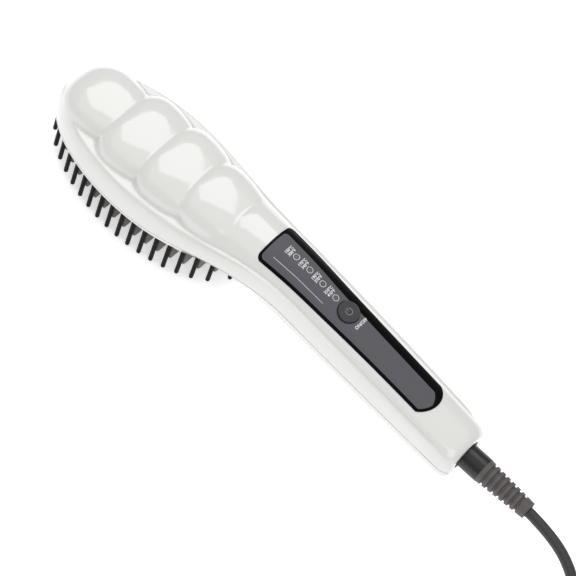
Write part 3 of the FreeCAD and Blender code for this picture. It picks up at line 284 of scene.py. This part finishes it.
# %% Spline of the lead
lead_radius = 3.0
curve = bpy.data.curves.new("mains_lead", "CURVE")
curve.dimensions = "3D"
curve.bevel_depth = lead_radius * MM
curve.bevel_resolution = 5
curve.use_fill_caps = True
spline = curve.splines.new("NURBS")
spline.points.add(len(route) - 1)
for spline_point, place in zip(spline.points, metres(route)):
    spline_point.co = (*place, 1.0)
spline.order_u = 3
spline.use_endpoint_u = True
spline.resolution_u = 6
lead = put_in_scene(bpy.data.objects.new("mains_lead", curve))
lead.data.materials.append(looks["cord_rubber"])
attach(lead, "housing")
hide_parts("cord_lead", "cord_coil", "cord_end")
print("lead: %.0f mm thick" % (2 * lead_radius))

# %% [markdown]
# ## Pieces from meshes
# A piece is a mesh with one look, tied to the body that it moves with. The solids arrive as loose
# triangles, which would shade as flat facets. A copy is merged and shaded smooth, and stays sharp
# where two faces meet at a real edge.

# %% Mesh helpers
NODE_WELD, GRID_WELD = 0.002 * MM, 0.0005 * MM
SHARP_EDGE, SHARP_ROUND_EDGE, SHARP_SKIN = 30, 40, 50


def new_piece(name, mesh, slot, body, look=None):
    """A piece in the scene, on its body, with its slot's look or one of its own."""
    thing = put_in_scene(bpy.data.objects.new(name, mesh))
    mesh.materials.clear()
    mesh.materials.append(look or looks[slot])
    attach(thing, body)
    return thing


def finished_mesh(name, shape):
    """The bmesh as a new mesh."""
    mesh = bpy.data.meshes.new(name)
    shape.to_mesh(mesh)
    shape.free()
    return mesh


def smooth_by_angle(shape, degrees):
    """Smooth faces, with a hard edge wherever two faces meet at more than the angle."""
    limit = math.radians(degrees)
    for face in shape.faces:
        face.smooth = True
    for edge in shape.edges:
        edge.smooth = len(edge.link_faces) == 2 and edge.calc_face_angle(0) < limit


def dressed(name, degrees=SHARP_EDGE):
    """A copy of a solid with its faces joined and softly shaded, in the solid's place."""
    shape = bmesh.new()
    shape.from_mesh(nodes[name].data)
    bmesh.ops.remove_doubles(shape, verts=shape.verts, dist=NODE_WELD)
    smooth_by_angle(shape, degrees)
    mesh = finished_mesh(name + "_look", shape)
    piece = new_piece(name + "_look", mesh, slot_of[name], body_of[name])
    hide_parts(name)
    return piece


def draped_grid(name, rows, hidden):
    """A grid with each vertex moved to its place in the rows, less the faces that are hidden."""
    rows = np.asarray(rows)
    row_count, row_length = rows.shape[:2]
    shape = bmesh.new()
    bmesh.ops.create_grid(shape, x_segments=row_length - 1, y_segments=row_count - 1, size=1)
    for vert, place in zip(shape.verts, metres(rows.reshape(-1, 3))):
        vert.co = place
    covered = [f for f in shape.faces if hidden(millimetres(f.calc_center_median()))]
    bmesh.ops.delete(shape, geom=covered, context="FACES")
    bmesh.ops.remove_doubles(shape, verts=shape.verts, dist=GRID_WELD)
    bmesh.ops.dissolve_degenerate(shape, edges=shape.edges, dist=GRID_WELD)
    shape.normal_update()
    smooth_by_angle(shape, SHARP_SKIN)
    return finished_mesh(name, shape)


# %% [markdown]
# ## Housing curves
# The back shell is one moulding: an oval head that narrows through a neck into the handle. Its
# sections change all the way, so no spin or extrusion gives it. The solid was drawn section by
# section, and the skin repeats those sections: a wall curve up to the gutter, and a crown curve
# between the shoulders. These functions give the sizes of a section at a place along the brush.

# %% Sizes along the housing
LENGTH, WIDEST = 290.0, 68.0
HEAD_HALF, HANDLE_HALF_WIDTH, HANDLE_HALF_HEIGHT = 33.5, 18.6, 15.5
HANDLE_START, HANDLE_START_Z, HANDLE_END_Z = 168, 13, -2
NARROWING_RUN, TAIL_TAPER, TAIL_THINNING = 110, 2.2, 1.9
END_ROUND, END_SHARE = 7, 0.2
NECK_START, NECK_RUN = 75, 100
RIM_Z, PARTING_DROP = 2.2, 3


def round_in(share):
    """A quarter circle from 0 to 1."""
    return math.sqrt(max(0, 1 - (1 - min(share, 1)) ** 2))


def mix(a, b, share):
    return a + (b - a) * share


def end_factor(x):
    """How much the rounded end draws the handle in."""
    share = min(max((x - LENGTH + END_ROUND) / END_ROUND, 0), 1)
    return 1 - END_SHARE * (1 - math.sqrt(1 - share**2))


def tail_share(x):
    return max(0, (x - HANDLE_START) / (LENGTH - HANDLE_START))


def half_width(x):
    if x < WIDEST:
        return HEAD_HALF * round_in(x / WIDEST)
    narrowing = mix(HEAD_HALF, HANDLE_HALF_WIDTH, ease((x - WIDEST) / NARROWING_RUN))
    return (narrowing - TAIL_TAPER * tail_share(x) ** 2) * end_factor(x)


def handle_centre(x):
    return mix(HANDLE_START_Z, HANDLE_END_Z, (x - HANDLE_START) / (LENGTH - HANDLE_START))


def handle_half(x):
    return (HANDLE_HALF_HEIGHT - TAIL_THINNING * tail_share(x) ** 2) * end_factor(x)


def neck_share(x):
    return ease((x - NECK_START) / NECK_RUN)


def parting_z(x):
    return mix(RIM_Z, handle_centre(x) - PARTING_DROP, neck_share(x))


widths = [2 * half_width(x) for x in (WIDEST, HANDLE_START)]
print("head and handle: %.1f and %.1f mm wide" % tuple(widths))

# %% Shoulder and crown
SHOULDER_INSET, SHOULDER_INSET_SHARE, HANDLE_SHOULDER_SHARE = 5.5, 0.36, 0.86
SHOULDER_Z, TIP_ROUND, HANDLE_SHOULDER_RISE = 17, 7, 11.5
NECK_TOP_Z, NECK_TOP_START, NECK_TOP_RUN = 31, 135, 60
CROWN_START, CROWN_RUN = 100, 30
CROWN_POLE_SHARE, CROWN_POLE_LIFT = 0.6, 4 / 3


def shoulder_width(x):
    width = half_width(x)
    head = width - min(SHOULDER_INSET, SHOULDER_INSET_SHARE * width)
    return mix(head, width * HANDLE_SHOULDER_SHARE, neck_share(x))


def shoulder_z(x):
    head = mix(RIM_Z, SHOULDER_Z, round_in(x / TIP_ROUND))
    handle = parting_z(x) + HANDLE_SHOULDER_RISE * handle_half(x) / HANDLE_HALF_HEIGHT
    return mix(head, handle, neck_share(x))


def crown_z(x):
    handle = handle_centre(max(x, HANDLE_START)) + handle_half(x)
    top = mix(NECK_TOP_Z, handle, ease((x - NECK_TOP_START) / NECK_TOP_RUN))
    return mix(shoulder_z(x), top, ease((x - CROWN_START) / CROWN_RUN))


def bezier(poles, t):
    """Points (y, z) of a Bezier curve in one section."""
    poles = [np.array(p, float) for p in poles]
    t = np.asarray(t)[:, None]
    while len(poles) > 1:
        poles = [(1 - t) * a + t * b for a, b in zip(poles, poles[1:])]
    return poles[0]


def crown_curve(x, t):
    """Points of the crown's curve, from the shoulder at +y to the one at -y."""
    side, top = shoulder_width(x), shoulder_z(x)
    high = top + (crown_z(x) - top) * CROWN_POLE_LIFT
    inner = CROWN_POLE_SHARE * side
    return bezier([(side, top), (inner, high), (-inner, high), (-side, top)], t)


def resampled(points, count):
    """The same polyline with evenly spaced points."""
    steps = np.concatenate([[0], np.cumsum(np.linalg.norm(np.diff(points, axis=0), axis=1))])
    wanted = np.linspace(0, 1, count) * steps[-1]
    return np.stack([np.interp(wanted, steps, points[:, k]) for k in range(2)], axis=1)


print("crown at the handle's start: %.1f mm" % crown_z(HANDLE_START))

# %% [markdown]
# ## Pillows
# Four soft pillows swell from the back of the head, each steep in front and running out under the
# next. Four spheres could be stretched and joined, but their seams would be sharp. A distance to
# each pillow is worked out instead, and the smaller one wins with a small blend, which gives the
# creases a fillet. The section's points are then lifted until they lie on the joined pillows.

# %% Pillows
PILLOW_FIRST, PILLOW_PITCH, PILLOW_REAR, PILLOW_FLOOR = 25.0, 26.5, 35.0, 14.5
WIDTH_PLACE = 4
pillow_shares = (0.79, 0.81, 0.81, 0.795)
pillow_fronts = (20.0, 18.0, 18.0, 18.5)
pillow_heights = (13.8, 15.4, 16.5, 17.4)
pillows = []
for i, (share, front, height) in enumerate(zip(pillow_shares, pillow_fronts, pillow_heights)):
    middle = PILLOW_FIRST + PILLOW_PITCH * i
    pillows.append((middle, front, share * half_width(middle + WIDTH_PLACE), height))
GUTTER_FILLET, CREASE_FILLET, FULLNESS = 2.2, 0.8, 2.5
SMALL = 1e-6


def soft_min(a, b, reach):
    """The smaller of two distances, blended where they are nearly equal."""
    near = np.maximum(reach - np.abs(a - b), 0) / reach
    return np.minimum(a, b) - near**2 * reach / 4


def pillow_distance(x, y, z):
    """Distance to the four joined pillows: full ellipsoids, steep in front and long behind."""
    joined = None
    for middle, front, half, height in pillows:
        length = front if x < middle else PILLOW_REAR
        along, across = (x - middle) / length, np.abs(y) / half
        rise = np.maximum(z - PILLOW_FLOOR, 0) / height
        inside = along**2 + across**FULLNESS + rise**FULLNESS - 1
        slope_x = 2 * along / length
        slope_y = FULLNESS * across ** (FULLNESS - 1) / half
        slope_z = FULLNESS * rise ** (FULLNESS - 1) / height
        own = inside / np.sqrt(slope_x**2 + slope_y**2 + slope_z**2 + SMALL)
        joined = own if joined is None else soft_min(joined, own, CREASE_FILLET)
    return joined


print("pillow widths:", [round(2 * half) for _, _, half, _ in pillows])

# %% Lift onto the pillows
PILLOWS_END, LIFT_LIMIT, LIFT_STEPS = 140, 25.0, 26
FILLET_START_SHARE, FILLET_RUN_SHARE = 0.7, 0.25
NECK_FILLET_START, NECK_FILLET_RUN = 100, 15


def raised(x, points):
    """Lift section points onto the pillows, with a fillet where they meet the shell."""
    if x > PILLOWS_END:
        return points
    share = np.abs(points[:, 0]) / shoulder_width(x)
    across = np.clip((share - FILLET_START_SHARE) / FILLET_RUN_SHARE, 0, 1)
    narrowing = ease((x - NECK_FILLET_START) / NECK_FILLET_RUN) * (1 - across)
    fillet = GUTTER_FILLET - (GUTTER_FILLET - CREASE_FILLET) * narrowing
    low, high = np.zeros(len(points)), np.full(len(points), LIFT_LIMIT)
    for _ in range(LIFT_STEPS):
        lift = (low + high) / 2
        gap = pillow_distance(x, points[:, 0], points[:, 1] + lift)
        outside = soft_min(lift, gap, fillet) > 0
        high = np.where(outside, lift, high)
        low = np.where(outside, low, lift)
    return np.stack([points[:, 0], points[:, 1] + high], axis=1)


for middle, *_ in pillows:
    ridge = np.array([[0.0, crown_z(middle)]])
    print("pillow at %.1f: %.1f mm high" % (middle, raised(middle, ridge)[0, 1]))

# %% [markdown]
# ## Back shell skin
# The lacquered shell shows every dent in its reflections, so its skin needs close, even rows of
# points. A grid is made in one step, its vertices are moved onto the sections, and the faces under
# the control panel are taken out. The rows stand closer at the tip, the end and the creases.

# %% Half a section
PARTING_GAP = 0.15
WALL_LEAN_SHARES, WALL_LIFT_SHARES = (0.975, 0.985), (1.0, 0.70)
LIP, LIP_SHARE, EDGE, EDGE_SHARE, EDGE_CORNER_SHARE = 1.6, 0.5, 0.25, 0.1, 0.3
LEDGE, LEDGE_TIP_RUN, LEDGE_END_START, LEDGE_END_RUN = 1.4, 15, 272, 12
LEDGE_RISE_SHARE, LEDGE_RISE_START, LEDGE_RISE_RUN = 0.25, 105, 25
LEDGE_POINT_SHARES = (0.75, 0.5, 0.25, 0.05)
WALL_FINE, CROWN_FINE, WALL_POINTS, CROWN_POINTS = 300, 500, 30, 66


def upper_half(x):
    """Half a section of the back shell, from inside the parting line to the crown's middle."""
    width, parting = half_width(x), parting_z(x) + PARTING_GAP
    side, top = shoulder_width(x), shoulder_z(x)
    lean, lift = (mix(*shares, neck_share(x)) for shares in (WALL_LEAN_SHARES, WALL_LIFT_SHARES))
    lip, edge = min(LIP, LIP_SHARE * width), min(EDGE, EDGE_SHARE * width)
    corner = EDGE_CORNER_SHARE * edge
    inner = [[width - lip, parting], [width - edge, parting], [width - corner, parting + corner]]
    ledge = LEDGE * ease(x / LEDGE_TIP_RUN) * (1 - ease((x - LEDGE_END_START) / LEDGE_END_RUN))
    rise = LEDGE_RISE_SHARE * ledge * ease((x - LEDGE_RISE_START) / LEDGE_RISE_RUN)
    wall_poles = [(width, parting), (width * lean, mix(parting, top, lift)), (side + ledge, top)]
    wall = bezier(wall_poles, np.linspace(0, 1, WALL_FINE))
    wall = raised(x, wall[wall[:, 1] >= min(parting + edge, wall[-1, 1])])
    crown = raised(x, crown_curve(x, np.linspace(0, 0.5, CROWN_FINE)))
    step = [[side + ledge * share, top + rise * (1 - share) ** 2] for share in LEDGE_POINT_SHARES]
    step = raised(x, np.array(step))
    wall, crown = resampled(wall, WALL_POINTS), resampled(crown, CROWN_POINTS)
    return np.concatenate([inner, wall, step, crown[1:]])


def section(x):
    """The whole section at x, as points of the brush."""
    half = upper_half(x)
    across = np.concatenate([half * [-1, 1], half[-2::-1]])
    return np.column_stack([np.full(len(across), x), across])


print("points in a section:", len(section(WIDEST)))

# %% Panel outline
PANEL_START, PANEL_END, PANEL_ROUND = 145, 258.0, 6
PANEL_HALVES, PANEL_SHARES = (14, 11.9, 10.6), (0, 0.42, 1)
PANEL_OVERLAP = 1.2


def panel_half(x, inset):
    """Half the width of the control panel's outline at x, or a negative number outside it."""
    start, rounding = PANEL_START + inset, PANEL_ROUND - inset
    if x < start or x > PANEL_END + rounding:
        return -1.0
    halves = [half - inset for half in PANEL_HALVES]
    if x > PANEL_END:
        return halves[-1] * math.sqrt(max(0, 1 - (x - PANEL_END) / rounding))
    return np.interp((x - start) / (PANEL_END - start), PANEL_SHARES, halves)


def under_panel(place):
    x, y, z = place
    return abs(y) < panel_half(x, PANEL_OVERLAP) and z > shoulder_z(x)


print("panel: %.0f mm long" % (PANEL_END + PANEL_ROUND - PANEL_START))

# %% Rows of the skin
TIP_RUN, TIP_FIRST_SHARE, TIP_ROWS, BODY_ROWS, END_ROWS = 12, 0.02, 42, 262, 14
CREASE_REACH, CREASE_ROWS = 3, 18
crease_places = (42.25, 68.75, 95.25, 123.0)
HOLE_RADIUS, HOLE_DEPTH = 8.9, 3

tip_xs = TIP_RUN * np.linspace(TIP_FIRST_SHARE, 1, TIP_ROWS) ** 2
body_xs = np.linspace(TIP_RUN, LENGTH - END_ROUND, BODY_ROWS)[1:]
end_xs = LENGTH - END_ROUND * (1 - np.sin(np.linspace(0, np.pi / 2, END_ROWS)[1:]))
crease_xs = [x + np.linspace(-CREASE_REACH, CREASE_REACH, CREASE_ROWS) for x in crease_places]
rows = [section(x) for x in np.unique(np.concatenate([tip_xs, body_xs, end_xs, *crease_xs]))]

# The end wall closes onto the round hole of the cord outlet and turns a little way in.
rim = rows[-1]
low_angle = math.asin((parting_z(LENGTH) + PARTING_GAP - axle_z) / HOLE_RADIUS)
angles = np.linspace(math.pi - low_angle, low_angle, len(rim))
hole_y, hole_z = HOLE_RADIUS * np.cos(angles), axle_z + HOLE_RADIUS * np.sin(angles)
hole = np.column_stack([np.full(len(rim), LENGTH), hole_y, hole_z])
rows += [mix(rim, hole, share) for share in (0.5, 1)]
rows.append(hole - [HOLE_DEPTH, 0, 0])

skin_mesh = draped_grid("back_shell_look", rows, under_panel)
skin = new_piece("back_shell_look", skin_mesh, "gloss_white", "housing")
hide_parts("back_shell")
print("faces of the skin:", len(skin_mesh.polygons))

# %% [markdown]
# ## Other pieces that show
# The rest of the outside is plain mouldings, pins and plates, and the solids already have their
# shape. Dressed copies are enough, with a wider smooth angle on the round ones. The plug and the
# tie belong to the lead and are dressed in the same way.

# %% Other pieces that show
flat_pieces = ("front_shell", "panel_bezel", "panel_overlay", "power_button", "light_pipe",
               "bristle_bed")
round_pieces = ("nylon_bristles", "heating_fins", "swivel_bush", "swivel_collar", "strain_relief")
lead_pieces = ("cord_tie", "plug_body", "plug_sleeve", "plug_pins", "pin_sleeves")
for name in flat_pieces:
    dressed(name)
for name in round_pieces:
    dressed(name, SHARP_ROUND_EDGE)
plug_pieces = [dressed(n) for n in lead_pieces]
print("dressed solids:", len(flat_pieces + round_pieces + lead_pieces))

# %% [markdown]
# ## Panel print
# The print is a thin layer of ink on the film: four settings, a ring round each lamp, a thin rule
# and the button's words and mark. A picture could carry it, but it would blur up close. Each sign
# is a flat drawing instead: a spun line for a ring, a stretched grid for a band, and type for
# words. Its points are then laid on the handle's crown, or on the button's top.

# %% Flat drawings
RING_STEPS, LETTER_WEIGHT, LETTER_CURVE_STEPS = 40, 0.06, 3
FULL_TURN = 2 * math.pi


def ring_drawing(radius, stroke, start=0.0, sweep=FULL_TURN):
    """A flat band along an arc: a short line, spun."""
    shape = bmesh.new()
    heading = Vector((math.cos(start), math.sin(start), 0))
    ends = [shape.verts.new(heading * r) for r in (radius - stroke / 2, radius + stroke / 2)]
    line = shape.edges.new(ends)
    bmesh.ops.spin(shape, geom=[*ends, line], angle=sweep, steps=RING_STEPS, axis=(0, 0, 1),
                   cent=(0, 0, 0), use_merge=sweep == FULL_TURN)
    shape.normal_update()
    bmesh.ops.reverse_faces(shape, faces=[f for f in shape.faces if f.normal.z < 0])
    return finished_mesh("ring", shape)


def band_drawing(start, end, stroke, steps=1):
    """A flat straight band: a unit grid, stretched and turned."""
    start, end = Vector((*start, 0)), Vector((*end, 0))
    run = end - start
    place = Matrix.Translation((start + end) / 2)
    place @= Matrix.Rotation(math.atan2(run.y, run.x), 4, "Z")
    place @= Matrix.Diagonal((run.length, stroke, 1, 1))
    shape = bmesh.new()
    bmesh.ops.create_grid(shape, x_segments=steps, y_segments=1, size=0.5, matrix=place)
    return finished_mesh("band", shape)


def text_drawing(words, size):
    """Words as a flat drawing about their middle."""
    letters = bpy.data.curves.new("letters", "FONT")
    letters.body = words
    letters.size = size
    letters.offset = LETTER_WEIGHT
    letters.align_x, letters.align_y = "CENTER", "CENTER"
    letters.resolution_u = LETTER_CURVE_STEPS
    holder = bpy.data.objects.new("letters", letters)
    flat = bpy.data.meshes.new_from_object(holder)
    bpy.data.objects.remove(holder)
    bpy.data.curves.remove(letters)
    return flat


def inked(name, drawings, lay, ink, slot, body):
    """One piece of ink from flat drawings; lay turns a drawing's point into a brush point."""
    shape = bmesh.new()
    for (middle_x, middle_y), flat in drawings:
        first = len(shape.verts)
        shape.from_mesh(flat)
        shape.verts.ensure_lookup_table()
        for vert in shape.verts[first:]:
            vert.co = metres(lay(middle_x - vert.co.y, middle_y + vert.co.x))
        bpy.data.meshes.remove(flat)
    for face in shape.faces:
        face.smooth = False
    new_piece(name, finished_mesh(name, shape), slot, body, ink)


# %% Print on the film
PANEL_PROUD, FILM_GAP, FILM_THICKNESS, INK = 0.4, 0.06, 0.2, 0.03
FILM_LIFT = PANEL_PROUD + FILM_GAP + FILM_THICKNESS + INK
BUTTON_BACK, LAMP_PITCH, LAMP_COUNT, LAMP_Y = 91.4, 9.7, 4, 0.3
LAMP_RING_RADIUS, LAMP_RING_STROKE = 1.7, 0.27
SETTING_SIZE, UPPER_BACK, LOWER_BACK = 2.3, 5.5, 3.3
SWITCH_WORDS_SIZE, SWITCH_WORDS_PLACE = 2.5, (8.8, 0.6)
RULE_START, RULE_END, RULE_STROKE, RULE_STEPS = (-8.4, -151.8), (-7.1, -186.5), 0.2, 24
CROWN_READINGS = 200
settings = (("150\u00b0C", "300\u00b0F"), ("170\u00b0C", "340\u00b0F"),
            ("190\u00b0C", "370\u00b0F"), ("210\u00b0C", "410\u00b0F"))


def on_film(x, y):
    """A point of the film's top at a place of the panel."""
    crown = crown_curve(x, np.linspace(1, 0, CROWN_READINGS))
    return (x, y, np.interp(y, crown[:, 0], crown[:, 1]) + FILM_LIFT)


button_x = LENGTH - BUTTON_BACK
slope = math.atan((HANDLE_START_Z - HANDLE_END_Z) / (LENGTH - HANDLE_START))
lamp_xs = [button_x - LAMP_PITCH * i * math.cos(slope) for i in range(LAMP_COUNT, 0, -1)]
drawings = []
for x, (upper, lower) in zip(lamp_xs, settings):
    drawings.append(((x, LAMP_Y), ring_drawing(LAMP_RING_RADIUS, LAMP_RING_STROKE)))
    drawings.append(((x - UPPER_BACK, LAMP_Y), text_drawing(upper, SETTING_SIZE)))
    drawings.append(((x - LOWER_BACK, LAMP_Y), text_drawing(lower, SETTING_SIZE)))
words_place = (button_x + SWITCH_WORDS_PLACE[0], SWITCH_WORDS_PLACE[1])
drawings.append((words_place, text_drawing("ON/OFF", SWITCH_WORDS_SIZE)))
drawings.append(((0, 0), band_drawing(RULE_START, RULE_END, RULE_STROKE, RULE_STEPS)))
inked("panel_print", drawings, on_film, print_ink, "panel_film", "housing")
print("signs on the film:", len(drawings))

# %% Mark on the button
BUTTON_PROUD, BUTTON_DOME = 0.9, 0.4
MARK_RADIUS, MARK_STROKE, MARK_GAP = 1.9, 0.42, math.radians(35)
STEM_LOW, STEM_HIGH = 0.5, 2.3
button_top = BUTTON_PROUD + BUTTON_DOME + INK
button_z = crown_z(button_x)


def on_button(x, y):
    """A point of the button's flat top; its origin is the button's middle."""
    sine, cosine = math.sin(slope), math.cos(slope)
    return (button_x + x * cosine + button_top * sine, y,
            button_z - x * sine + button_top * cosine)


mark_start, mark_sweep = math.pi / 2 + MARK_GAP, FULL_TURN - 2 * MARK_GAP
mark = [((0, 0), ring_drawing(MARK_RADIUS, MARK_STROKE, mark_start, mark_sweep)),
        ((0, 0), band_drawing((0, STEM_LOW), (0, STEM_HIGH), MARK_STROKE))]
inked("power_mark", mark, on_button, mark_ink, "button_black", "button")
print("height of the mark: %.1f mm" % button_z)

# %% [markdown]
# ## Floor and light
# The brush lies on a white ground under soft light, so the white shell is told from the ground by
# its own shading. A pale sheet with a weak glow of its own stays white under the brush. One lamp
# high over the far side draws the highlights on the pillows, a wide one stands for the ceiling,
# and a small one on the near side shows the creases.

# %% Floor
FLOOR_HALF, FLOOR_GLOW = 6, 0.5
WHITE = (1, 1, 1, 1)
shape = bmesh.new()
bmesh.ops.create_grid(shape, x_segments=1, y_segments=1, size=FLOOR_HALF)
floor = put_in_scene(bpy.data.objects.new("floor", finished_mesh("floor", shape)))
# Matt coated card: an even white without a highlight.
sheet = surface("lit_white_sheet", "#fafafa", 0.9, specular=0.1)
sheet_shader = sheet.node_tree.nodes["Principled BSDF"]
sheet_shader.inputs["Emission Color"].default_value = WHITE
sheet_shader.inputs["Emission Strength"].default_value = FLOOR_GLOW
floor.data.materials.append(sheet)
print("floor: %d m wide" % (2 * FLOOR_HALF))

# %% Light
ROOM_LIGHT = 0.46
world = bpy.data.worlds.new("studio")
world.use_nodes = True
room = world.node_tree.nodes["Background"]
room.inputs["Color"].default_value = WHITE
room.inputs["Strength"].default_value = ROOM_LIGHT
bpy.context.scene.world = world
bpy.context.scene.view_settings.view_transform = "Standard"


def softbox(name, place_mm, aim_mm, size_mm, power):
    """A large area lamp aimed at a point of the brush."""
    lamp = bpy.data.lights.new(name, "AREA")
    lamp.shape = "RECTANGLE"
    lamp.size, lamp.size_y = (s * MM for s in size_mm)
    lamp.energy = power
    thing = put_in_scene(bpy.data.objects.new(name, lamp))
    place, aim = (Vector(metres(p)) for p in (place_mm, aim_mm))
    thing.location = place
    thing.rotation_mode = "QUATERNION"
    thing.rotation_quaternion = (place - aim).to_track_quat("Z", "Y")


softbox("overhead", (-270, 450, 1200), (160, 0, 10), (1050, 1000), 6.8)
softbox("ceiling", (160, 0, 1500), (160, 0, 0), (3000, 3000), 15.0)
softbox("near_fill", (800, -750, 600), (120, 0, 10), (700, 700), 2.4)
print("lamps:", len(bpy.data.lights))
